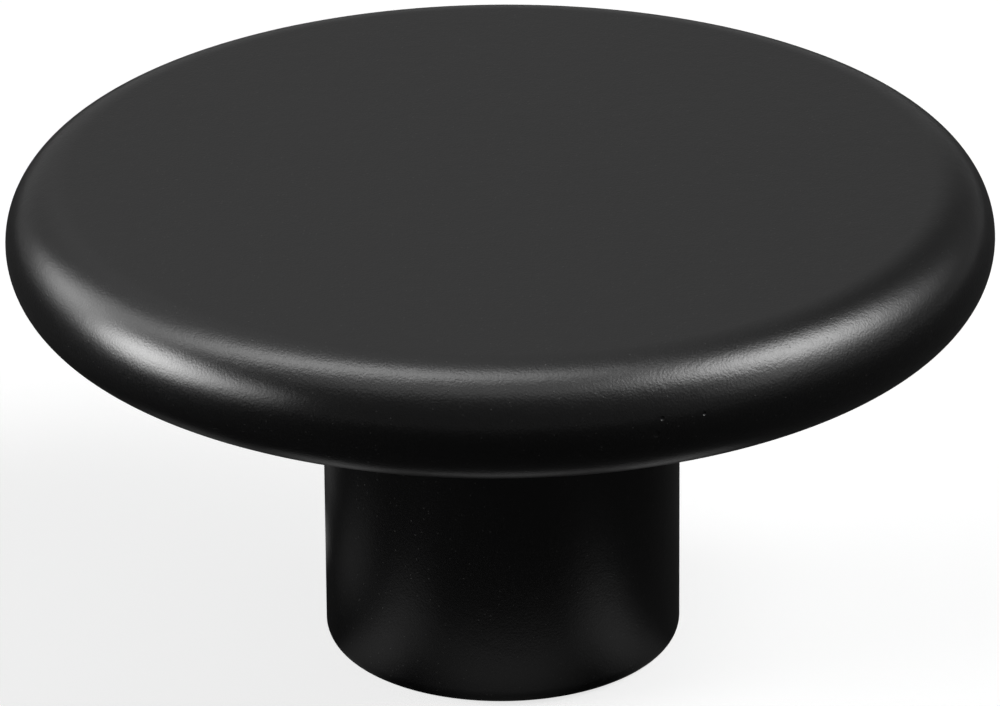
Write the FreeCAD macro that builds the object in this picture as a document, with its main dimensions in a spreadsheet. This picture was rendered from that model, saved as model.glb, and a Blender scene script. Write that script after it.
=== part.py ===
import FreeCAD, Part
import math
import os
import Sketcher

# Cabinet knob, millimetres: a flat round head on a straight round stem, turned in one piece of
# metal. It stands on its stem, as it would on a door's face: the origin is the centre of the
# stem's end, and +Z runs up the axis to the flat top of the head. A machine screw comes through
# the door into the tapped blind hole in the stem.

# Driving dimensions
sizes = {
    "head_diameter": 50.0,
    "head_thickness": 6.25,
    "projection": 25.5,
    "stem_diameter": 18.2,
    "neck_radius": 1.0,
    "foot_radius": 0.85,
    "screw_diameter": 4.0,
    "screw_pitch": 0.7,
    "hole_depth": 14.0,
    "drill_angle": 118.0,
    "mouth_margin": 0.3,
    "mouth_angle": 90.0,
}

doc = FreeCAD.newDocument("cabinet_knob")
sheet = doc.addObject("Spreadsheet::Sheet", "Sizes")
for row, (name, value) in enumerate(sizes.items(), start=1):
    sheet.set(f"A{row}", name)
    sheet.set(f"B{row}", str(value))
    sheet.setAlias(f"B{row}", name)
doc.recompute()


def size(name):
    """The value that the sheet holds under this name."""
    return float(getattr(sheet, name))


def in_sheet(rule):
    """A rule such as "head_diameter / 2" with each size's name led by the sheet's."""
    return " ".join(f"Sizes.{word}" if word in sizes else word for word in rule.split())


def bind(thing, **rules):
    """Ties each named property of a feature to a rule in the sizes' names."""
    for target, rule in rules.items():
        thing.setExpression(target, in_sheet(rule))


def sketch_on(body, name, role):
    """An empty sketch flat on one of the body's own origin planes."""
    sketch = body.newObject("Sketcher::SketchObject", name)
    plane = next(item for item in body.Origin.OriginFeatures if item.Role == role)
    sketch.AttachmentSupport = [(plane, "")]
    sketch.MapMode = "FlatFace"
    return sketch


def name_constraint(sketch, constraint, name, rule):
    """Adds a measured constraint to a sketch and ties it to the sheet."""
    index = sketch.addConstraint(constraint)
    sketch.renameConstraint(index, name)
    bind(sketch, **{f"Constraints.{name}": rule})


def ring_edge(feature, radius, height):
    """The name of the feature's round edge about the axis, at this radius and height."""
    for number, edge in enumerate(feature.Shape.Edges, start=1):
        if not isinstance(edge.Curve, Part.Circle):
            continue
        centre = edge.Curve.Center
        off_axis = math.hypot(centre.x, centre.y)
        if max(off_axis, abs(centre.z - height), abs(edge.Curve.Radius - radius)) < 1e-4:
            return f"Edge{number}"
    raise RuntimeError(f"no round edge of radius {radius} at height {height}")


def round_edge(body, name, base, radius, height, rule):
    """Rounds one edge about the axis by a radius from the sheet."""
    fillet = body.newObject("PartDesign::Fillet", name)
    fillet.Base = (base, [ring_edge(base, radius, height)])
    bind(fillet, Radius=rule)
    doc.recompute()
    return fillet


# The outline from the axis outwards, as it would be turned: the stem's end, the stem's side, the
# underside of the head, the fully rounded rim and the flat top.
knob = doc.addObject("PartDesign::Body", "Body")
knob.Label = "knob"
outline = sketch_on(knob, "Outline", "XZ_Plane")

stem_r = size("stem_diameter") / 2
rim_r = size("head_thickness") / 2
rim_x = size("head_diameter") / 2 - rim_r
top_z = size("projection")
under_z = top_z - size("head_thickness")


def point(across, up):
    """A point of the outline: its distance from the axis and its height."""
    return FreeCAD.Vector(across, up, 0)


rim = Part.ArcOfCircle(
    Part.Circle(point(rim_x, under_z + rim_r), FreeCAD.Vector(0, 0, 1), rim_r),
    -math.pi / 2,
    math.pi / 2,
)
FOOT, SIDE, UNDER, RIM, TOP, AXIS = range(6)
outline.addGeometry(
    [
        Part.LineSegment(point(0, 0), point(stem_r, 0)),
        Part.LineSegment(point(stem_r, 0), point(stem_r, under_z)),
        Part.LineSegment(point(stem_r, under_z), point(rim_x, under_z)),
        rim,
        Part.LineSegment(point(rim_x, top_z), point(0, top_z)),
        Part.LineSegment(point(0, top_z), point(0, 0)),
    ],
    False,
)
START, END, CENTRE = 1, 2, 3
ORIGIN = (-1, 1)
for first, second in ((FOOT, SIDE), (SIDE, UNDER), (TOP, AXIS), (AXIS, FOOT)):
    outline.addConstraint(Sketcher.Constraint("Coincident", first, END, second, START))
outline.addConstraint(Sketcher.Constraint("Coincident", FOOT, START, *ORIGIN))
outline.addConstraint(Sketcher.Constraint("Horizontal", FOOT))
outline.addConstraint(Sketcher.Constraint("Vertical", SIDE))
outline.addConstraint(Sketcher.Constraint("Horizontal", UNDER))
outline.addConstraint(Sketcher.Constraint("Vertical", AXIS))
outline.addConstraint(Sketcher.Constraint("Horizontal", TOP))
outline.addConstraint(Sketcher.Constraint("Tangent", UNDER, END, RIM, START))
outline.addConstraint(Sketcher.Constraint("Tangent", RIM, END, TOP, START))
name_constraint(
    outline,
    Sketcher.Constraint("DistanceX", FOOT, START, FOOT, END, stem_r),
    "stem_reach",
    "stem_diameter / 2",
)
name_constraint(
    outline,
    Sketcher.Constraint("DistanceX", AXIS, END, RIM, CENTRE, rim_x),
    "rim_centre",
    "head_diameter / 2 - head_thickness / 2",
)
name_constraint(
    outline,
    Sketcher.Constraint("DistanceY", UNDER, END, TOP, START, 2 * rim_r),
    "thickness",
    "head_thickness",
)
name_constraint(
    outline,
    Sketcher.Constraint("DistanceY", AXIS, END, AXIS, START, top_z),
    "rise",
    "projection",
)

turned = knob.newObject("PartDesign::Revolution", "Turned")
turned.Profile = outline
turned.ReferenceAxis = (outline, ["V_Axis"])
turned.Angle = 360.0
doc.recompute()

# The head grows out of the stem with a small inside radius, and the stem's end has its sharp
# edge taken off so that it sits flat without marking the door.
neck = round_edge(knob, "Neck", turned, stem_r, under_z, "neck_radius")
foot = round_edge(knob, "Foot", neck, stem_r, 0, "foot_radius")

# The screw's hole: drilled to the tapping size from the stem's end, with the drill's cone at its
# bottom and a countersunk mouth a little wider than the thread.
hole_centre = sketch_on(knob, "HoleCentre", "XY_Plane")
hole_centre.addGeometry(
    Part.Circle(FreeCAD.Vector(0, 0, 0), FreeCAD.Vector(0, 0, 1), size("screw_diameter") / 2),
    False,
)
hole_centre.addConstraint(Sketcher.Constraint("Coincident", 0, CENTRE, *ORIGIN))
name_constraint(
    hole_centre,
    Sketcher.Constraint("Diameter", 0, size("screw_diameter")),
    "thread_circle",
    "screw_diameter",
)
doc.recompute()
hole = knob.newObject("PartDesign::Hole", "ScrewHole")
hole.Profile = hole_centre
hole.Reversed = True
hole.DepthType = "Dimension"
hole.DrillPoint = "Angled"
hole.HoleCutType = "Countersink"
hole.HoleCutCustomValues = True
bind(
    hole,
    Diameter="screw_diameter - screw_pitch",
    Depth="hole_depth",
    DrillPointAngle="drill_angle",
    HoleCutDiameter="screw_diameter + 2 * mouth_margin",
    HoleCutCountersinkAngle="mouth_angle",
)
doc.recompute()

# Each step must have worked, and cut or added metal where it should.
for item in doc.Objects:
    if "Invalid" in item.State or "Error" in item.State:
        raise RuntimeError(f"{item.Name} failed: {item.State}")
if not turned.Shape.Volume < neck.Shape.Volume:
    raise RuntimeError("the neck's radius added no metal")
if not foot.Shape.Volume < neck.Shape.Volume:
    raise RuntimeError("the stem's edge wasn't rounded")
drilled = math.pi / 4 * (size("screw_diameter") - size("screw_pitch")) ** 2 * size("hole_depth")
if not foot.Shape.Volume - hole.Shape.Volume > drilled:
    raise RuntimeError("the screw's hole wasn't cut to its depth")

os.makedirs("parts", exist_ok=True)
for body in doc.findObjects("PartDesign::Body"):
    shape = body.Shape
    if shape.isNull() or not shape.isValid() or len(shape.Solids) != 1:
        raise RuntimeError(f"{body.Label} isn't one valid solid")
    shape.exportStep(os.path.join("parts", body.Label + ".step"))
    box = shape.optimalBoundingBox(True, False)
    print(body.Label, "volume", round(shape.Volume, 1), "mm3")
    print(body.Label, "box", round(box.XLength, 3), round(box.YLength, 3), round(box.ZLength, 3))
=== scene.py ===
import math

import bpy
import numpy as np
from bpy.props import FloatProperty, FloatVectorProperty, PointerProperty
from mathutils import Matrix, Vector


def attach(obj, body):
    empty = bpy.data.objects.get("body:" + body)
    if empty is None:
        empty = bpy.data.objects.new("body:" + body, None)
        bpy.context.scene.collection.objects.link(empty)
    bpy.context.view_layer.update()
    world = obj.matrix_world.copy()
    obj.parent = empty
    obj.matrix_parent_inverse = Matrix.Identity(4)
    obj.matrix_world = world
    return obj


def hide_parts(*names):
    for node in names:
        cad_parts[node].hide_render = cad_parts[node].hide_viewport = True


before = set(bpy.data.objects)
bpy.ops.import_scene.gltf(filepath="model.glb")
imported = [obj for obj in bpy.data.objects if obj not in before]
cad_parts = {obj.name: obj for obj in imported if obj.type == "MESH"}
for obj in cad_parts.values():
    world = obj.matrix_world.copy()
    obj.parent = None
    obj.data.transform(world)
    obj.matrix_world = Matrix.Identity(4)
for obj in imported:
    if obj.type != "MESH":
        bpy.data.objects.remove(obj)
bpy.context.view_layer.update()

# Cabinet knob, metres: a flat round head on a round stem, turned in one piece and painted black,
# with a tapped hole up the stem. It stands on its stem's foot, at the origin, and +Z is its axis.

bl_info = {
    "name": "Cabinet knob",
    "version": (1, 0, 0),
    "blender": (4, 5, 0),
    "location": "3D View > Sidebar > Knob",
    "description": "Makes a black painted cabinet knob with a tapped hole, and the studio round it",
    "category": "Object",
}

MM = 0.001
FULL_TURN = 2 * math.pi


# Sizes and colours that a user may change.


def length(name, description, default, smallest=0.0):
    """A length in metres, shown in the scene's own unit."""
    return FloatProperty(
        name=name,
        description=description,
        default=default,
        min=smallest,
        precision=5,
        subtype="DISTANCE",
        unit="LENGTH",
    )


def share(name, description, default):
    """A share from 0 to 1."""
    return FloatProperty(
        name=name, description=description, default=default, min=0.0, max=1.0, subtype="FACTOR"
    )


def strength(name, description, default):
    """How bright a lamp's face is, where 1 is a white card at the plain level."""
    return FloatProperty(name=name, description=description, default=default, min=0.0)


def colour(name, description, default):
    """A linear colour."""
    return FloatVectorProperty(
        name=name, description=description, default=default, min=0.0, max=1.0, subtype="COLOR"
    )


class KnobSizes(bpy.types.PropertyGroup):
    """The knob's sizes"""

    head_diameter: length("Head diameter", "Across the round head", 50.0 * MM)
    head_thickness: length("Head thickness", "Of the head, whose rim is fully rounded", 6.25 * MM)
    projection: length("Projection", "From the foot to the head's flat top", 25.5 * MM)
    stem_diameter: length("Stem diameter", "Across the straight stem", 18.2 * MM)
    neck_radius: length("Neck radius", "Inside radius where the stem meets the head", 1.0 * MM)
    foot_radius: length("Foot radius", "Rounding of the edge of the stem's foot", 0.85 * MM)
    screw_diameter: length("Screw diameter", "Outside diameter of the fixing screw", 4.0 * MM)
    screw_pitch: length("Screw pitch", "From one turn of the thread to the next", 0.7 * MM)
    hole_depth: length("Hole depth", "Of the drilled hole, without the drill's cone", 14.0 * MM)
    mouth_margin: length("Mouth margin", "How far the mouth is wider than the screw", 0.3 * MM)


class KnobPaint(bpy.types.PropertyGroup):
    """The knob's paint and bare metal"""

    black: colour("Black", "Colour of the paint", (0.0022, 0.0022, 0.0023))
    roughness: share("Roughness", "How far the paint blurs what it reflects", 0.3)
    grain_size: length("Grain size", "Width of one grain in the paint's skin", 0.12 * MM)
    grain_depth: length("Grain depth", "Height of the paint's grain", 0.009 * MM)
    wave_size: length("Wave size", "Width of the paint's slow waves", 0.9 * MM)
    wave_depth: length("Wave depth", "Height of the paint's slow waves", 0.01 * MM)
    dust: colour("Dust", "Colour of the specks of dust in the paint", (0.035, 0.035, 0.034))
    metal: colour("Metal", "Colour of the bare metal in the tapped hole", (0.56, 0.56, 0.54))


class KnobStudio(bpy.types.PropertyGroup):
    """The studio's lamps and floor"""

    floor_card: share("Floor card", "Share of the floor's white that takes the light", 0.25)
    # Painted shade: the dark card is a dark sheet that the knob sees in its reflections in place of
    # the white floor.
    card_grey: share("Card", "How pale the dark card round the foot is", 0.034)
    # Painted light: the levels of the glowing patches on the dark card, which are no lamps.
    front_bounce: strength("Front bounce", "The dim patch on the card before the foot", 0.267)
    right_bounce: strength("Right bounce", "The patch on the card before the foot's right", 0.328)
    right_close_bounce: strength("Right close bounce", "The patch beside the foot's right", 0.175)
    left_bounce: strength("Left bounce", "The patch on the card before the foot's left", 0.31)
    left_close_bounce: strength("Left close bounce", "The patch beside the foot's left", 0.225)
    left_far_bounce: strength("Left far bounce", "The patch further out on the left", 0.147)
    back_bounce: strength("Back bounce", "The patch on the card behind the foot's left", 0.34)
    back_far_bounce: strength("Back far bounce", "The patch further out behind the left", 0.13)
    left_light: strength("Left lamp", "The low soft lamp on the left", 17.2)
    left_shine: strength("Left shine", "What the rim shows of it, from close by", 13.6)
    left_wide: strength("Left wide", "The wide weak light round it", 2.6)
    left_glow: strength("Left glow", "The weaker light beside it, further back", 2.35)
    left_front: strength("Left front", "The small weak light low on the left in front", 3.2)
    left_strip_light: strength("Left strip", "The narrow lamp high on the left", 7.15)
    right_light: strength("Right lamp", "The soft lamp high on the right", 15.0)
    right_glow: strength("Right glow", "The wide weak light low on the right", 1.4)
    right_front: strength("Right front", "The small weak light low on the right in front", 1.1)
    top_glow: strength("Top glow", "The weak light overhead", 0.4)
    front_glow: strength("Front glow", "The weak light high in front", 1.21)
    back_sky: strength("Back", "The studio behind the knob", 0.32)
    right_sky: strength("Right back", "The studio behind the knob on its right", 0.12)
    front_sky: strength("Front", "The studio in front of the knob", 0.165)


# Shape: the knob's skin.

ROUND_STEPS = 384
HOLE_STEPS = 96
RIM_STEPS = 64
FILLET_STEPS = 12
FOOT_STEPS = 3
STEM_STEPS = 8
UNDER_STEPS = 6
TOP_STEPS = 8
TIGHT = 0.05 * MM


def steps(start, end, count):
    """Even steps from start towards end, without the end itself."""
    return np.linspace(start, end, count, endpoint=False)


def arc(centre, radius, first, last, count):
    """Points on a circle: centre + radius (cos a, sin a), with a in even steps from first to
    last, both kept. Angles in degrees, from straight outwards."""
    a = np.radians(np.linspace(first, last, count + 1))
    return np.stack([centre[0] + radius * np.cos(a), centre[1] + radius * np.sin(a)], axis=1)


def run(first, last, count):
    """Points on the straight line between two points, neither of them kept. The first and last
    lie close to its ends, so that shading stays flat up to them."""
    first, last = np.array(first), np.array(last)
    near = TIGHT / np.linalg.norm(last - first)
    t = np.linspace(0.0, 1.0, count + 2)[1:-1]
    t = np.concatenate([[near], t, [1.0 - near]])
    return first + t[:, None] * (last - first)


def outside_profile(size):
    """Distance from the axis and height of the outside, from the foot's flat out to the stem's
    side, up it, out under the head, round the rim and in over the top, without the axis. Straight
    runs lie between circle arcs that they touch: the foot's, the neck's and the rim's."""
    stem = size.stem_diameter / 2
    rim = size.head_thickness / 2
    reach = size.head_diameter / 2 - rim
    under = size.projection - size.head_thickness
    mouth = size.screw_diameter / 2 + size.mouth_margin
    foot_middle = (stem - size.foot_radius, size.foot_radius)
    neck_middle = (stem + size.neck_radius, under - size.neck_radius)
    foot = arc(foot_middle, size.foot_radius, -90, 0, FILLET_STEPS)
    neck = arc(neck_middle, size.neck_radius, 180, 90, FILLET_STEPS)
    edge = arc((reach, under + rim), rim, -90, 90, RIM_STEPS)
    return np.concatenate(
        [
            run((mouth, 0.0), foot[0], FOOT_STEPS),
            foot,
            run(foot[-1], neck[0], STEM_STEPS),
            neck,
            run(neck[-1], edge[0], UNDER_STEPS),
            edge,
            run(edge[-1], (0.0, size.projection), TOP_STEPS)[:-1],
        ]
    )


def revolve(profile, count):
    """The point at distance r and height z, carried round the axis: (r cos t, r sin t, z), with t
    in even steps of a full turn. One row of points for each point of the profile."""
    t = steps(0.0, FULL_TURN, count)
    r, z = profile[:, :1], profile[:, 1:]
    return np.stack([r * np.cos(t), r * np.sin(t), z + 0 * t], axis=2)


# One turn of the thread, as shares of the pitch along the axis and of the thread's depth.
THREAD_ALONG = np.array([0.0, 0.149, 0.298, 0.442, 0.587, 0.712, 0.856])
THREAD_DEEP = np.array([0.0, 0.0, 0.0, 0.5, 1.0, 1.0, 0.5])
THREAD_TURNS = 15
FADE_IN = 0.5
FADE_OUT = 1.5
THREAD_START_GAP = 0.05 * MM
THREAD_END_GAP = 0.1 * MM
DRILL_HALF_ANGLE = 59.0
SHARP_ANGLE = 30.0


def ease(t):
    """A smooth step from 0 to 1: 3 t^2 - 2 t^3, with t held between 0 and 1."""
    t = np.clip(t, 0.0, 1.0)
    return t * t * (3 - 2 * t)


def thread_points(size, low):
    """The tapped wall as one strip that climbs like a stair: at turn s and share w of the pitch,
    the height is low + pitch (s + w), the angle is s full turns, and the distance from the axis
    is the drilled radius plus the thread's depth there. The depth fades in over the first half
    turn and out over the last one and a half."""
    s = np.arange((THREAD_TURNS + 1) * HOLE_STEPS + 1)[:, None] / HOLE_STEPS
    fade = ease(s / FADE_IN) * ease((THREAD_TURNS - s) / FADE_OUT)
    drilled = (size.screw_diameter - size.screw_pitch) / 2
    r = drilled + THREAD_DEEP * fade * size.screw_pitch / 2
    z = low + size.screw_pitch * (s + THREAD_ALONG)
    return np.stack([r * np.cos(FULL_TURN * s), r * np.sin(FULL_TURN * s), z], axis=2)


def ring_faces(lower, upper):
    """Four-sided faces between two rings of point numbers, the first ring being the one that the
    profile reaches first."""
    return np.stack([lower, np.roll(lower, -1), np.roll(upper, -1), upper], axis=1)


def knob_skin(size):
    """The knob's whole closed skin: the drill's cone, the drilled wall, the thread, the mouth's
    cone, the foot's flat and then the outside to the middle of the top. Returns its points and
    its faces, which all point outwards."""
    drilled = (size.screw_diameter - size.screw_pitch) / 2
    mouth = size.screw_diameter / 2 + size.mouth_margin
    thread_low = mouth - drilled + THREAD_START_GAP
    thread_high = thread_low + (THREAD_TURNS + 1) * size.screw_pitch
    drill_tip = size.hole_depth + drilled / math.tan(math.radians(DRILL_HALF_ANGLE))

    points, faces, total = [], [], 0

    def keep(rows):
        """Adds points and returns their numbers, in the shape that they came in."""
        nonlocal total
        numbers = total + np.arange(rows[..., 0].size).reshape(rows.shape[:-1])
        points.append(rows.reshape(-1, 3))
        total += numbers.size
        return numbers

    # The drill's cone and the plain wall above the thread
    tip = keep(np.array([[0.0, 0.0, drill_tip]]))[0]
    deep = np.array([[drilled, size.hole_depth], [drilled, thread_high + THREAD_END_GAP]])
    wall = keep(revolve(deep, HOLE_STEPS))
    drill = np.stack([np.full(HOLE_STEPS, tip), np.roll(wall[0], -1), wall[0]], axis=1)
    faces += drill.tolist()
    faces += ring_faces(wall[0], wall[1]).tolist()

    # The thread's strip, whose every turn shares an edge with the next one
    strip = keep(thread_points(size, thread_low))
    last = THREAD_TURNS * HOLE_STEPS
    closed = np.concatenate([strip[: last + 1], strip[HOLE_STEPS:, :1]], axis=1)
    a, b = closed[:-1, :-1], closed[1:, :-1]
    c, d = closed[1:, 1:], closed[:-1, 1:]
    faces += np.stack([d, c, b, a], axis=2).reshape(-1, 4).tolist()

    # From the plain wall down to the thread's upper edge, with the strip's end in the last face
    upper = strip[last:, 0]
    ring = np.append(wall[1], wall[1][0])
    band = np.stack([ring[:-1], ring[1:], upper[1:], upper[:-1]], axis=1)
    faces += band[1:].tolist()
    faces.append([ring[0], ring[1], upper[1], *strip[last, :], upper[-1]])

    # From the thread's lower edge down to the mouth, with the strip's start in the last face
    cone = keep(revolve(np.array([[drilled, mouth - drilled], [mouth, 0.0]]), HOLE_STEPS))
    lower = strip[: HOLE_STEPS + 1, 0]
    ring = np.append(cone[0], cone[0][0])
    band = np.stack([lower[:-1], lower[1:], ring[1:], ring[:-1]], axis=1)
    faces += band[:-1].tolist()
    faces.append([lower[-2], lower[-1], *strip[0, ::-1], ring[-1], ring[-2]])
    faces += ring_faces(cone[0], cone[1]).tolist()

    # The foot's flat, from the mouth's coarser ring to the outside's finer one
    outside = keep(revolve(outside_profile(size), ROUND_STEPS))
    finer = ROUND_STEPS // HOLE_STEPS
    spokes = np.arange(HOLE_STEPS)[:, None] * finer + np.arange(finer, -1, -1)
    fan = [cone[1][:, None], np.roll(cone[1], -1)[:, None], outside[0][spokes % ROUND_STEPS]]
    faces += np.concatenate(fan, axis=1).tolist()

    # The outside, and its middle
    rows = [ring_faces(low, high) for low, high in zip(outside[:-1], outside[1:])]
    faces += np.concatenate(rows).tolist()
    middle = keep(np.array([[0.0, 0.0, size.projection]]))[0]
    rim = outside[-1]
    faces += np.stack([rim, np.roll(rim, -1), np.full(ROUND_STEPS, middle)], axis=1).tolist()
    return without_loose(np.concatenate(points), faces)


def without_loose(points, faces):
    """The same faces without the points that none of them uses."""
    sizes = [len(face) for face in faces]
    corners = np.concatenate(faces)
    used, corners = np.unique(corners, return_inverse=True)
    return points[used], [part.tolist() for part in np.split(corners, np.cumsum(sizes)[:-1])]


def new_piece(name, points, faces, material):
    """A smooth-shaded mesh object at the origin, sharp only where its faces meet steeply."""
    mesh = bpy.data.meshes.new(name)
    mesh.from_pydata(points.tolist(), [], faces)
    mesh.polygons.foreach_set("use_smooth", np.ones(len(mesh.polygons), bool))
    mesh.set_sharp_from_angle(angle=math.radians(SHARP_ANGLE))
    mesh.materials.append(material)
    piece = bpy.data.objects.new(name, mesh)
    bpy.context.scene.collection.objects.link(piece)
    return piece


# Materials.


def new_node(tree, kind, place, **values):
    """A node with its plain properties set, and its inputs by name."""
    node = tree.nodes.new(kind)
    node.location = place
    for key, value in values.items():
        if hasattr(node, key):
            setattr(node, key, value)
        else:
            node.inputs[key.replace("_", " ")].default_value = value
    return node


def new_group(name, inputs, outputs):
    """An empty shader node group with float or vector sockets, and its two end nodes."""
    group = bpy.data.node_groups.new(name, "ShaderNodeTree")
    for label, kind, value in inputs:
        socket = group.interface.new_socket(name=label, in_out="INPUT", socket_type=kind)
        socket.default_value = value
    for label, kind in outputs:
        group.interface.new_socket(name=label, in_out="OUTPUT", socket_type=kind)
    start = group.nodes.new("NodeGroupInput")
    end = group.nodes.new("NodeGroupOutput")
    start.location, end.location = (-900, 0), (700, 0)
    return group, start, end


FLOAT, VECTOR = "NodeSocketFloat", "NodeSocketVector"


def math_node(tree, operation, place, first, second=None, third=None):
    """A Math node whose inputs are numbers or other nodes' outputs."""
    node = new_node(tree, "ShaderNodeMath", place, operation=operation)
    for socket, value in zip(node.inputs, (first, second, third)):
        if isinstance(value, (int, float)):
            socket.default_value = value
        elif value is not None:
            tree.links.new(value, socket)
    return node.outputs[0]


def paint_skin_group():
    """The paint's skin: fine grain and slow waves, as a height in metres. Noise of two sizes,
    each taken about its middle value and times its depth."""
    group, start, end = new_group(
        "paint skin",
        [
            ("Position", VECTOR, (0.0, 0.0, 0.0)),
            ("Grain Size", FLOAT, 0.12 * MM),
            ("Grain Depth", FLOAT, 0.01 * MM),
            ("Wave Size", FLOAT, 0.9 * MM),
            ("Wave Depth", FLOAT, 0.01 * MM),
        ],
        [("Height", FLOAT), ("Grain", FLOAT)],
    )
    heights = []
    grains = []
    for row, kind in enumerate(("Grain", "Wave")):
        y = 200 - 400 * row
        scale = math_node(group, "DIVIDE", (-700, y - 80), 1.0, start.outputs[f"{kind} Size"])
        noise = new_node(group, "ShaderNodeTexNoise", (-500, y), Scale=1.0, Detail=1.0, Roughness=0.5)
        group.links.new(start.outputs["Position"], noise.inputs["Vector"])
        group.links.new(scale, noise.inputs["Scale"])
        middle = math_node(group, "SUBTRACT", (-300, y), noise.outputs["Fac"], 0.5)
        height = math_node(group, "MULTIPLY", (-100, y), middle, start.outputs[f"{kind} Depth"])
        heights.append(height)
        grains.append(noise.outputs["Fac"])
    total = math_node(group, "ADD", (300, 0), heights[0], heights[1])
    group.links.new(total, end.inputs["Height"])
    group.links.new(grains[0], end.inputs["Grain"])
    return group


def speck_group():
    """Specks of dust: one point at a random place in each cell of a grid. A cell shows its speck
    only where its own random number is under the share given, and a speck is round and soft."""
    group, start, end = new_group(
        "dust specks",
        [
            ("Position", VECTOR, (0.0, 0.0, 0.0)),
            ("Spacing", FLOAT, 0.3 * MM),
            ("Speck Size", FLOAT, 0.05 * MM),
            ("Share", FLOAT, 0.6),
        ],
        [("Mask", FLOAT)],
    )
    scale = math_node(group, "DIVIDE", (-700, -80), 1.0, start.outputs["Spacing"])
    cells = new_node(group, "ShaderNodeTexVoronoi", (-500, 0), feature="F1")
    group.links.new(start.outputs["Position"], cells.inputs["Vector"])
    group.links.new(scale, cells.inputs["Scale"])
    spacing = start.outputs["Spacing"]
    away = math_node(group, "MULTIPLY", (-300, 100), cells.outputs["Distance"], spacing)
    near = math_node(group, "DIVIDE", (-100, 100), away, start.outputs["Speck Size"])
    soft = math_node(group, "SUBTRACT", (60, 100), 1.0, near)
    speck = math_node(group, "MAXIMUM", (220, 100), soft, 0.0)
    pick = new_node(group, "ShaderNodeSeparateColor", (-300, -150))
    group.links.new(cells.outputs["Color"], pick.inputs["Color"])
    chosen = math_node(group, "LESS_THAN", (-100, -150), pick.outputs["Red"], start.outputs["Share"])
    mask = math_node(group, "MULTIPLY", (400, 0), speck, chosen)
    group.links.new(mask, end.inputs["Mask"])
    return group


def pit_group():
    """One small pit in the paint: 1 at its middle, falling smoothly to 0 at its edge."""
    group, start, end = new_group(
        "paint pit",
        [
            ("Position", VECTOR, (0.0, 0.0, 0.0)),
            ("Centre", VECTOR, (0.0, 0.0, 0.0)),
            ("Pit Size", FLOAT, 0.2 * MM),
        ],
        [("Mask", FLOAT)],
    )
    away = new_node(group, "ShaderNodeVectorMath", (-600, 0), operation="DISTANCE")
    group.links.new(start.outputs["Position"], away.inputs[0])
    group.links.new(start.outputs["Centre"], away.inputs[1])
    near = math_node(group, "DIVIDE", (-400, 0), away.outputs["Value"], start.outputs["Pit Size"])
    inside = new_node(group, "ShaderNodeMapRange", (-200, 0), interpolation_type="SMOOTHSTEP")
    group.links.new(near, inside.inputs["Value"])
    inside.inputs["From Min"].default_value = 1.0
    inside.inputs["From Max"].default_value = 0.3
    group.links.new(inside.outputs["Result"], end.inputs["Mask"])
    return group


EDGE_NOISE_SCALE = 3000.0
EDGE_UNEVEN = 1.2 * MM
MIST_BAND = 1.0 * MM


def bare_hole_group():
    """Where the tapped hole is bare metal: close to the axis and deeper than the paint's mist
    reaches, with an uneven edge between the two."""
    group, start, end = new_group(
        "bare hole",
        [
            ("Position", VECTOR, (0.0, 0.0, 0.0)),
            ("Hole Radius", FLOAT, 2.4 * MM),
            ("Mist Depth", FLOAT, 0.9 * MM),
            ("Hole Depth", FLOAT, 16.0 * MM),
        ],
        [("Mask", FLOAT)],
    )
    parts = new_node(group, "ShaderNodeSeparateXYZ", (-700, 0))
    group.links.new(start.outputs["Position"], parts.inputs["Vector"])
    x2 = math_node(group, "MULTIPLY", (-520, 120), parts.outputs["X"], parts.outputs["X"])
    y2 = math_node(group, "MULTIPLY", (-520, -20), parts.outputs["Y"], parts.outputs["Y"])
    away2 = math_node(group, "ADD", (-340, 60), x2, y2)
    away = math_node(group, "SQRT", (-180, 60), away2)
    inside = math_node(group, "LESS_THAN", (-20, 60), away, start.outputs["Hole Radius"])
    noise = new_node(
        group, "ShaderNodeTexNoise", (-520, -260), Scale=EDGE_NOISE_SCALE, Detail=3.0
    )
    group.links.new(start.outputs["Position"], noise.inputs["Vector"])
    uneven = math_node(
        group, "MULTIPLY_ADD", (-340, -260), noise.outputs["Fac"], EDGE_UNEVEN, -EDGE_UNEVEN / 2
    )
    height = math_node(group, "ADD", (-180, -200), parts.outputs["Z"], uneven)
    mist = new_node(group, "ShaderNodeMapRange", (20, -160), interpolation_type="SMOOTHSTEP")
    group.links.new(height, mist.inputs["Value"])
    group.links.new(start.outputs["Mist Depth"], mist.inputs["From Min"])
    deeper = math_node(group, "ADD", (-180, -360), start.outputs["Mist Depth"], MIST_BAND)
    group.links.new(deeper, mist.inputs["From Max"])
    below = math_node(group, "LESS_THAN", (20, -420), parts.outputs["Z"], start.outputs["Hole Depth"])
    mask = math_node(group, "MULTIPLY", (260, 0), inside, mist.outputs["Result"])
    mask = math_node(group, "MULTIPLY", (420, 0), mask, below)
    group.links.new(mask, end.inputs["Mask"])
    return group


def place_group(tree, group, place, position, **values):
    """A group's node in a material, reading the given position, with its own values."""
    node = tree.nodes.new("ShaderNodeGroup")
    node.node_tree = group
    node.location = place
    tree.links.new(position, node.inputs["Position"])
    for key, value in values.items():
        node.inputs[key.replace("_", " ")].default_value = value
    return node


PAINT_IOR = 1.5
ROUGHNESS_SPREAD = 0.02
GRAIN_LOW, GRAIN_HIGH = 0.3, 0.7
SPECK_SPACING = 0.34 * MM
SPECK_SIZE = 0.05 * MM
SPECK_SHARE = 0.6
NIB_HEIGHT = 0.006 * MM
BARE_RADIUS = 2.4 * MM
BARE_FROM = 0.9 * MM
BARE_TO = 16.0 * MM
PIT_DEPTH = 0.04 * MM
PITS = (
    # the three small pits in the rim's paint: middle, then reach, in millimetres
    ((7.44, -23.85, 22.14), 0.22),
    ((7.73, -23.72, 22.92), 0.14),
    ((9.77, -22.98, 22.82), 0.12),
)


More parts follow.
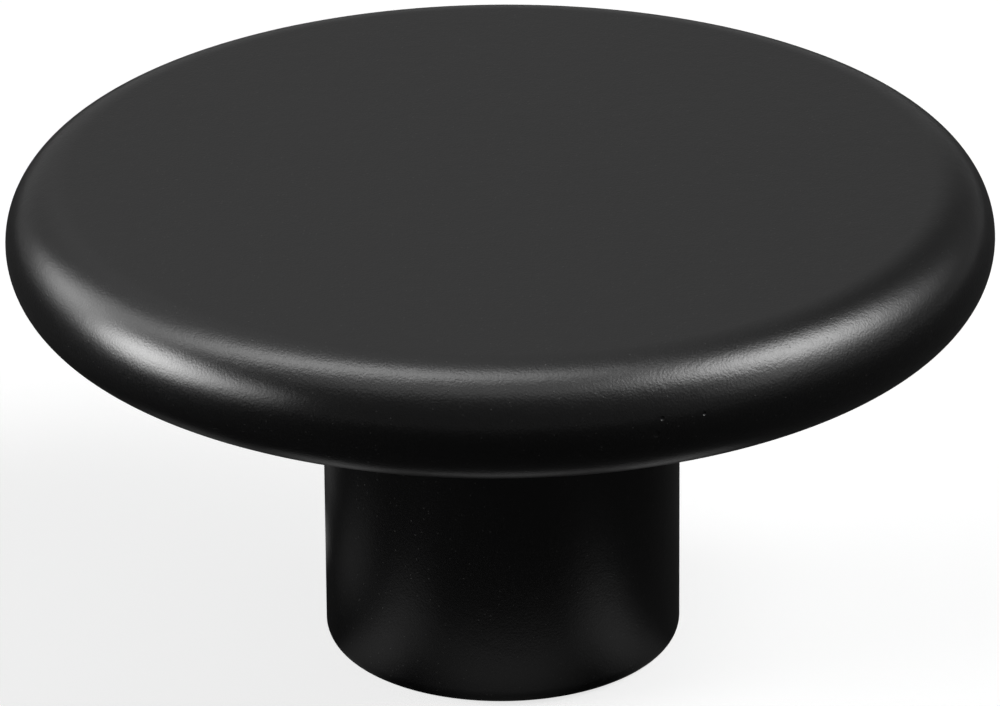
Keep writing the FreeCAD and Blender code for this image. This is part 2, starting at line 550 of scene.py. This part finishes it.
def black_paint(paint):
    """Satin black paint on turned metal: its skin's grain and waves bend the light, specks of dust
    stand up in it, three small pits lie in the rim, and the tapped hole is bare past the paint's
    mist."""
    material = bpy.data.materials.new("black paint")
    material.use_nodes = True
    tree = material.node_tree
    tree.nodes.clear()
    out = new_node(tree, "ShaderNodeOutputMaterial", (900, 0))
    shader = new_node(tree, "ShaderNodeBsdfPrincipled", (600, 0))
    shader.inputs["IOR"].default_value = PAINT_IOR
    where = new_node(tree, "ShaderNodeTexCoord", (-1100, 0)).outputs["Object"]
    skin = place_group(
        tree, paint_skin_group(), (-700, -200), where,
        Grain_Size=paint.grain_size, Grain_Depth=paint.grain_depth,
        Wave_Size=paint.wave_size, Wave_Depth=paint.wave_depth,
    )
    specks = place_group(
        tree, speck_group(), (-700, 300), where,
        Spacing=SPECK_SPACING, Speck_Size=SPECK_SIZE, Share=SPECK_SHARE,
    )
    bare = place_group(
        tree, bare_hole_group(), (-700, 600), where,
        Hole_Radius=BARE_RADIUS, Mist_Depth=BARE_FROM, Hole_Depth=BARE_TO,
    )
    dusty = new_node(tree, "ShaderNodeMix", (-200, 300), data_type="RGBA")
    dusty.inputs["A"].default_value = (*paint.black, 1.0)
    dusty.inputs["B"].default_value = (*paint.dust, 1.0)
    tree.links.new(specks.outputs["Mask"], dusty.inputs["Factor"])
    base = new_node(tree, "ShaderNodeMix", (100, 300), data_type="RGBA")
    base.inputs["B"].default_value = (*paint.metal, 1.0)
    tree.links.new(dusty.outputs["Result"], base.inputs["A"])
    tree.links.new(bare.outputs["Mask"], base.inputs["Factor"])
    tree.links.new(base.outputs["Result"], shader.inputs["Base Color"])
    tree.links.new(bare.outputs["Mask"], shader.inputs["Metallic"])
    rough = new_node(tree, "ShaderNodeMapRange", (-200, 0))
    rough.inputs["From Min"].default_value = GRAIN_LOW
    rough.inputs["From Max"].default_value = GRAIN_HIGH
    rough.inputs["To Min"].default_value = paint.roughness - ROUGHNESS_SPREAD
    rough.inputs["To Max"].default_value = paint.roughness + ROUGHNESS_SPREAD
    tree.links.new(skin.outputs["Grain"], rough.inputs["Value"])
    tree.links.new(rough.outputs["Result"], shader.inputs["Roughness"])
    nibs = specks.outputs["Mask"]
    height = math_node(tree, "MULTIPLY_ADD", (-450, -400), nibs, NIB_HEIGHT, skin.outputs["Height"])
    one_pit = pit_group()
    for row, (centre, reach) in enumerate(PITS):
        pit = place_group(
            tree, one_pit, (-700, -500 - 200 * row), where,
            Centre=[part * MM for part in centre], Pit_Size=reach * MM,
        )
        height = math_node(
            tree, "MULTIPLY_ADD", (-300 + 150 * row, -500), pit.outputs["Mask"], -PIT_DEPTH, height
        )
    bump = new_node(tree, "ShaderNodeBump", (200, -300))
    bump.inputs["Strength"].default_value = 1.0
    bump.inputs["Distance"].default_value = 1.0
    tree.links.new(height, bump.inputs["Height"])
    tree.links.new(bump.outputs["Normal"], shader.inputs["Normal"])
    tree.links.new(shader.outputs["BSDF"], out.inputs["Surface"])
    return material


# Studio.

# The camera is a long lens in front of the knob, above it, turned a hair off its axis.
CAMERA_HEIGHT_ANGLE = 26.44
CAMERA_DISTANCE = 0.447
CAMERA_TURN = -0.007
CAMERA_TILT = 1.815
CAMERA_LEAN = -0.433
CAMERA_LENS = 311.4
CAMERA_SENSOR = 36.0
CAMERA_NEAR, CAMERA_FAR = 0.05, 20.0


def direction(azimuth, elevation):
    """The unit vector towards a place in the studio. Azimuth 0 is behind the knob and 90 on its
    right; elevation is above the floor, in degrees."""
    a, e = math.radians(azimuth), math.radians(elevation)
    return Vector((math.sin(a) * math.cos(e), math.cos(a) * math.cos(e), math.sin(e)))


def turned(first, second, degrees):
    """Two unit vectors turned towards each other in their own plane."""
    c, s = math.cos(math.radians(degrees)), math.sin(math.radians(degrees))
    return first * c + second * s, second * c - first * s


def new_camera():
    """The camera, from its height angle, distance, turn, tilt and lean."""
    e = math.radians(CAMERA_HEIGHT_ANGLE)
    ahead = Vector((0.0, math.cos(e), -math.sin(e)))
    right = Vector((1.0, 0.0, 0.0))
    up = Vector((0.0, math.sin(e), math.cos(e)))
    ahead_turned, right_turned = turned(ahead, right, CAMERA_TURN)
    ahead_tilted, up_tilted = turned(ahead_turned, up, CAMERA_TILT)
    right_leant, up_leant = turned(right_turned, up_tilted, CAMERA_LEAN)
    data = bpy.data.cameras.new("camera")
    data.lens = CAMERA_LENS
    data.sensor_width = CAMERA_SENSOR
    data.clip_start, data.clip_end = CAMERA_NEAR, CAMERA_FAR
    camera = bpy.data.objects.new("camera", data)
    axes = Matrix((right_leant, up_leant, -ahead_tilted)).transposed().to_4x4()
    camera.matrix_world = Matrix.Translation(-ahead * CAMERA_DISTANCE) @ axes
    bpy.context.scene.collection.objects.link(camera)
    bpy.context.scene.camera = camera
    return camera


FAR = 900.0 * MM
NEAR = 32.0 * MM
AIM = Vector((0.0, 0.0, 20.0 * MM))
LAMPS = (
    # name, setting for its level, what it lights, distance from the point aimed at, and then in
    # degrees: azimuth, elevation, half width, half height and turn
    ("left_lamp", "left_light", "colours", FAR, -96.0, 14.4, 26.0, 22.0, 3.0),
    ("left_shine", "left_shine", "shine", NEAR, -125.8, 10.6, 18.5, 8.1, 0.8),
    ("left_wide", "left_wide", "shine", NEAR, -111.7, 12.8, 39.0, 9.0, -8.8),
    ("left_glow", "left_glow", "shine", NEAR, -104.4, 19.6, 20.8, 12.2, 24.6),
    ("left_front", "left_front", "shine", NEAR, -143.0, 10.4, 9.5, 5.0, 3.9),
    ("left_strip", "left_strip_light", "shine", FAR, -77.0, 70.0, 16.5, 44.0, 7.0),
    ("right_lamp", "right_light", "colours and shine", FAR, 94.0, 47.0, 30.0, 21.5, -45.0),
    ("right_glow", "right_glow", "shine", FAR, 88.0, 25.0, 40.0, 18.0, 0.0),
    ("right_front", "right_front", "shine", FAR, 118.0, 22.0, 18.0, 14.0, 0.0),
    ("top_glow", "top_glow", "shine", FAR, -40.0, 69.0, 55.0, 38.0, 52.0),
    ("front_glow", "front_glow", "shine", FAR, 180.0, 64.0, 50.0, 15.0, 0.0),
)


def new_lamp(
    name, radiance, lights, distance, azimuth, elevation, half_width, half_height, turn
):
    """An oval soft box that faces the knob. Its size is given by the angles that it fills. Its
    power gives the middle of its face the radiance asked for, radiance times pi times its area,
    and from there the face falls to dark at its edge, as the square of 1 - distance squared. It
    lights colours, or is seen in shiny surfaces, or both, as lights says."""
    out = direction(azimuth, elevation)
    a = math.radians(azimuth)
    across = Vector((-math.cos(a), math.sin(a), 0.0))
    across, up = turned(across, out.cross(across), turn)
    data = bpy.data.lights.new(name, "AREA")
    data.shape = "ELLIPSE"
    data.size = 2 * distance * math.tan(math.radians(half_width))
    data.size_y = 2 * distance * math.tan(math.radians(half_height))
    data.energy = radiance * math.pi * (math.pi / 4 * data.size * data.size_y)
    data.use_nodes = True
    tree = data.node_tree
    face = next(node for node in tree.nodes if node.type == "EMISSION")
    where = new_node(tree, "ShaderNodeTexCoord", (-900, 0))
    middle = new_node(tree, "ShaderNodeVectorMath", (-700, 0), operation="DISTANCE")
    middle.inputs[1].default_value = (0.5, 0.5, 0.0)
    tree.links.new(where.outputs["UV"], middle.inputs[0])
    away = math_node(tree, "MULTIPLY", (-540, 0), middle.outputs["Value"], 2.0)
    away2 = math_node(tree, "MULTIPLY", (-400, 0), away, away)
    left = math_node(tree, "SUBTRACT", (-260, 0), 1.0, away2)
    left = math_node(tree, "MAXIMUM", (-140, 0), left, 0.0)
    fall = math_node(tree, "MULTIPLY", (-20, 0), left, left)
    tree.links.new(fall, face.inputs["Strength"])
    lamp = bpy.data.objects.new(name, data)
    axes = Matrix((across, up, out)).transposed().to_4x4()
    lamp.matrix_world = Matrix.Translation(AIM + out * distance) @ axes
    lamp.visible_camera = False
    lamp.visible_diffuse = "colours" in lights
    lamp.visible_glossy = "shine" in lights
    bpy.context.scene.collection.objects.link(lamp)
    return lamp


FLOOR_REACH = 6.0
FLOOR_DROP = 0.02 * MM
CARD_REACH = 880.0 * MM
# The floor and the card are open beneath the foot, so that it can be seen from below.
FLOOR_HOLE = 7.5 * MM


def flat_ring(name, inner, outer, height, material):
    """A level round sheet with a round hole, facing up: the two ends of a straight line from the
    hole's edge to the sheet's, carried round the axis."""
    rows = revolve(np.array([[inner, height], [outer, height]]), HOLE_STEPS)
    numbers = np.arange(2 * HOLE_STEPS).reshape(2, -1)
    faces = ring_faces(numbers[0], numbers[1])[:, ::-1]
    return new_piece(name, rows.reshape(-1, 3), faces.tolist(), material)


def floor_white(studio):
    """A white floor. One share of its white takes the light and the knob's shadow, and the rest
    is shown as it is to the camera and in reflections. From beneath it is clear."""
    material = bpy.data.materials.new("floor white")
    material.use_nodes = True
    material.cycles.emission_sampling = "NONE"
    tree = material.node_tree
    tree.nodes.clear()
    out = new_node(tree, "ShaderNodeOutputMaterial", (800, 0))
    card = new_node(tree, "ShaderNodeBsdfDiffuse", (0, 100))
    card.inputs["Color"].default_value = (*[studio.floor_card] * 3, 1.0)
    path = new_node(tree, "ShaderNodeLightPath", (-600, -100))
    camera, glossy = path.outputs["Is Camera Ray"], path.outputs["Is Glossy Ray"]
    seen = math_node(tree, "MAXIMUM", (-400, -100), camera, glossy)
    seen = math_node(tree, "MAXIMUM", (-250, -100), seen, path.outputs["Is Transmission Ray"])
    strength_left = math_node(tree, "MULTIPLY", (-100, -100), seen, 1.0 - studio.floor_card)
    shown = new_node(tree, "ShaderNodeEmission", (60, -100))
    tree.links.new(strength_left, shown.inputs["Strength"])
    both = new_node(tree, "ShaderNodeAddShader", (250, 50))
    tree.links.new(card.outputs[0], both.inputs[0])
    tree.links.new(shown.outputs[0], both.inputs[1])
    clear = new_node(tree, "ShaderNodeBsdfTransparent", (250, -150))
    side = new_node(tree, "ShaderNodeNewGeometry", (250, 300))
    pick = new_node(tree, "ShaderNodeMixShader", (500, 0))
    tree.links.new(side.outputs["Backfacing"], pick.inputs[0])
    tree.links.new(both.outputs[0], pick.inputs[1])
    tree.links.new(clear.outputs[0], pick.inputs[2])
    tree.links.new(pick.outputs[0], out.inputs["Surface"])
    return material


def painted_glow_group():
    """One soft patch of painted light on the card, a glow that is no lamp: 1 in its middle, falling
    to 0 at the edge of an oval as the square of 1 - distance squared, where distance is 1 at the
    edge."""
    group, start, end = new_group(
        "bounce",
        [
            ("Position", VECTOR, (0.0, 0.0, 0.0)),
            ("Centre", VECTOR, (0.0, 0.0, 0.0)),
            ("Half Size", VECTOR, (0.01, 0.01, 1.0)),
            ("Level", FLOAT, 0.2),
        ],
        [("Light", FLOAT)],
    )
    off = new_node(group, "ShaderNodeVectorMath", (-700, 0), operation="SUBTRACT")
    group.links.new(start.outputs["Position"], off.inputs[0])
    group.links.new(start.outputs["Centre"], off.inputs[1])
    away = new_node(group, "ShaderNodeVectorMath", (-520, 0), operation="DIVIDE")
    group.links.new(off.outputs["Vector"], away.inputs[0])
    group.links.new(start.outputs["Half Size"], away.inputs[1])
    away2 = new_node(group, "ShaderNodeVectorMath", (-340, 0), operation="DOT_PRODUCT")
    group.links.new(away.outputs["Vector"], away2.inputs[0])
    group.links.new(away.outputs["Vector"], away2.inputs[1])
    left = math_node(group, "SUBTRACT", (-160, 0), 1.0, away2.outputs["Value"])
    left = math_node(group, "MAXIMUM", (0, 0), left, 0.0)
    fall = math_node(group, "MULTIPLY", (160, 0), left, left)
    light = math_node(group, "MULTIPLY", (340, 0), fall, start.outputs["Level"])
    group.links.new(light, end.inputs["Light"])
    return group


# Painted light: glowing patches on the dark card round the foot, seen only in the knob's reflections.
PAINTED_GLOWS = (
    # setting for its level, middle across and along, half width and half depth, in millimetres
    ("front_bounce", 0.0, -13.5, 14.0, 6.0),
    ("right_bounce", 13.0, -11.0, 7.0, 7.0),
    ("right_close_bounce", 10.5, -6.5, 5.0, 5.0),
    ("left_bounce", -13.0, -11.0, 7.0, 7.0),
    ("left_close_bounce", -10.5, -6.5, 5.0, 5.0),
    ("left_far_bounce", -21.0, -1.0, 9.0, 9.0),
    ("back_bounce", -11.0, 11.0, 5.0, 5.0),
    ("back_far_bounce", -21.0, 17.0, 9.0, 9.0),
)


def painted_shade_card(studio):
    """Painted shade and painted light: dull dark grey for the card that the knob's lower parts
    reflect in place of the white floor, with soft glowing patches of painted light on it round the
    foot."""
    material = bpy.data.materials.new("painted shade card")
    material.use_nodes = True
    material.cycles.emission_sampling = "NONE"
    tree = material.node_tree
    tree.nodes.clear()
    out = new_node(tree, "ShaderNodeOutputMaterial", (700, 0))
    dull = new_node(tree, "ShaderNodeBsdfDiffuse", (200, 150))
    dull.inputs["Color"].default_value = (*[studio.card_grey] * 3, 1.0)
    where = new_node(tree, "ShaderNodeTexCoord", (-600, 0)).outputs["Object"]
    group = painted_glow_group()
    total = 0.0
    for row, (setting, x, y, half_width, half_depth) in enumerate(PAINTED_GLOWS):
        patch = place_group(
            tree, group, (-350, 300 - 200 * row), where,
            Centre=(x * MM, y * MM, 0.0),
            Half_Size=(half_width * MM, half_depth * MM, 1.0),
            Level=getattr(studio, setting),
        )
        total = math_node(tree, "ADD", (-150 + 50 * row, 0), patch.outputs["Light"], total)
    glow = new_node(tree, "ShaderNodeEmission", (200, 0))
    tree.links.new(total, glow.inputs["Strength"])
    both = new_node(tree, "ShaderNodeAddShader", (450, 0))
    tree.links.new(dull.outputs[0], both.inputs[0])
    tree.links.new(glow.outputs[0], both.inputs[1])
    tree.links.new(both.outputs[0], out.inputs["Surface"])
    return material


def only_reflected(card):
    """Shows a stage card in reflections only, so that it neither hides the floor from the camera
    nor takes light from the knob."""
    card.visible_camera = False
    card.visible_diffuse = False
    card.visible_transmission = False
    card.visible_shadow = False


# Where the dim studio changes level, as parts of a direction: to the right, and to the back.
SKY_RIGHT_EDGE = (0.1, 0.45)
SKY_BACK_EDGE = (-0.3, 0.3)


def studio_sky(studio):
    """The studio's own dim light: a smooth step from the front's level to the back's, which is
    itself a smooth step from the middle's and left's level to the right's."""
    world = bpy.data.worlds.new("studio")
    world.use_nodes = True
    tree = world.node_tree
    tree.nodes.clear()
    out = new_node(tree, "ShaderNodeOutputWorld", (600, 0))
    sky = new_node(tree, "ShaderNodeBackground", (400, 0))
    where = new_node(tree, "ShaderNodeTexCoord", (-400, 0))
    parts = new_node(tree, "ShaderNodeSeparateXYZ", (-200, 0))
    tree.links.new(where.outputs["Generated"], parts.inputs[0])
    behind = new_node(tree, "ShaderNodeMapRange", (-50, -200), interpolation_type="SMOOTHSTEP")
    behind.inputs["From Min"].default_value = SKY_RIGHT_EDGE[0]
    behind.inputs["From Max"].default_value = SKY_RIGHT_EDGE[1]
    behind.inputs["To Min"].default_value = studio.back_sky
    behind.inputs["To Max"].default_value = studio.right_sky
    tree.links.new(parts.outputs["X"], behind.inputs["Value"])
    level = new_node(tree, "ShaderNodeMapRange", (150, 0), interpolation_type="SMOOTHSTEP")
    level.inputs["From Min"].default_value = SKY_BACK_EDGE[0]
    level.inputs["From Max"].default_value = SKY_BACK_EDGE[1]
    level.inputs["To Min"].default_value = studio.front_sky
    tree.links.new(behind.outputs["Result"], level.inputs["To Max"])
    tree.links.new(parts.outputs["Y"], level.inputs["Value"])
    tree.links.new(level.outputs["Result"], sky.inputs["Strength"])
    tree.links.new(sky.outputs[0], out.inputs["Surface"])
    bpy.context.scene.world = world
    return world


# Operators and panel.


class KNOB_OT_painted_knob(bpy.types.Operator):
    """Makes the knob, head and stem in one, with its tapped hole and its black paint"""

    bl_idname = "knob.painted_knob"
    bl_label = "Painted knob"

    def execute(self, context):
        points, faces = knob_skin(context.scene.knob_sizes)
        piece = new_piece("painted_knob", points, faces, black_paint(context.scene.knob_paint))
        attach(piece, "root")
        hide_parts("knob")
        return {"FINISHED"}


class KNOB_OT_studio(bpy.types.Operator):
    """Makes the floor, the card, the lamps, the dim studio round them and the camera"""

    bl_idname = "knob.studio"
    bl_label = "Studio"

    def execute(self, context):
        studio = context.scene.knob_studio
        floor = flat_ring("floor", FLOOR_HOLE, FLOOR_REACH, -FLOOR_DROP, floor_white(studio))
        # The dark card is painted shade: a dark sheet just above the floor, seen only in the knob's
        # reflections in place of the white floor, with glowing patches of painted light round the
        # foot.
        card = flat_ring("painted_shade_sheet", FLOOR_HOLE, CARD_REACH, -FLOOR_DROP / 2, painted_shade_card(studio))
        only_reflected(card)
        for name, setting, *place in LAMPS:
            new_lamp(name, getattr(studio, setting), *place)
        studio_sky(studio)
        new_camera()
        context.scene.view_settings.view_transform = "Standard"
        return {"FINISHED"}


class KNOB_PT_panel(bpy.types.Panel):
    """The knob's sizes, paint and studio, with a button for each thing that is made"""

    bl_label = "Cabinet knob"
    bl_idname = "KNOB_PT_panel"
    bl_space_type = "VIEW_3D"
    bl_region_type = "UI"
    bl_category = "Knob"

    def draw(self, context):
        scene = context.scene
        for settings, operator in (
            ((scene.knob_sizes, scene.knob_paint), KNOB_OT_painted_knob),
            ((scene.knob_studio,), KNOB_OT_studio),
        ):
            box = self.layout.box()
            for group in settings:
                for name in group.__annotations__:
                    box.prop(group, name)
            box.operator(operator.bl_idname)


CLASSES = (KnobSizes, KnobPaint, KnobStudio, KNOB_OT_painted_knob, KNOB_OT_studio, KNOB_PT_panel)


def register():
    for cls in CLASSES:
        bpy.utils.register_class(cls)
    bpy.types.Scene.knob_sizes = PointerProperty(type=KnobSizes)
    bpy.types.Scene.knob_paint = PointerProperty(type=KnobPaint)
    bpy.types.Scene.knob_studio = PointerProperty(type=KnobStudio)


def unregister():
    del bpy.types.Scene.knob_studio
    del bpy.types.Scene.knob_paint
    del bpy.types.Scene.knob_sizes
    for cls in reversed(CLASSES):
        bpy.utils.unregister_class(cls)


def main():
    """Makes everything."""
    register()
    bpy.ops.knob.painted_knob()
    bpy.ops.knob.studio()


if __name__ == "__main__":
    main()
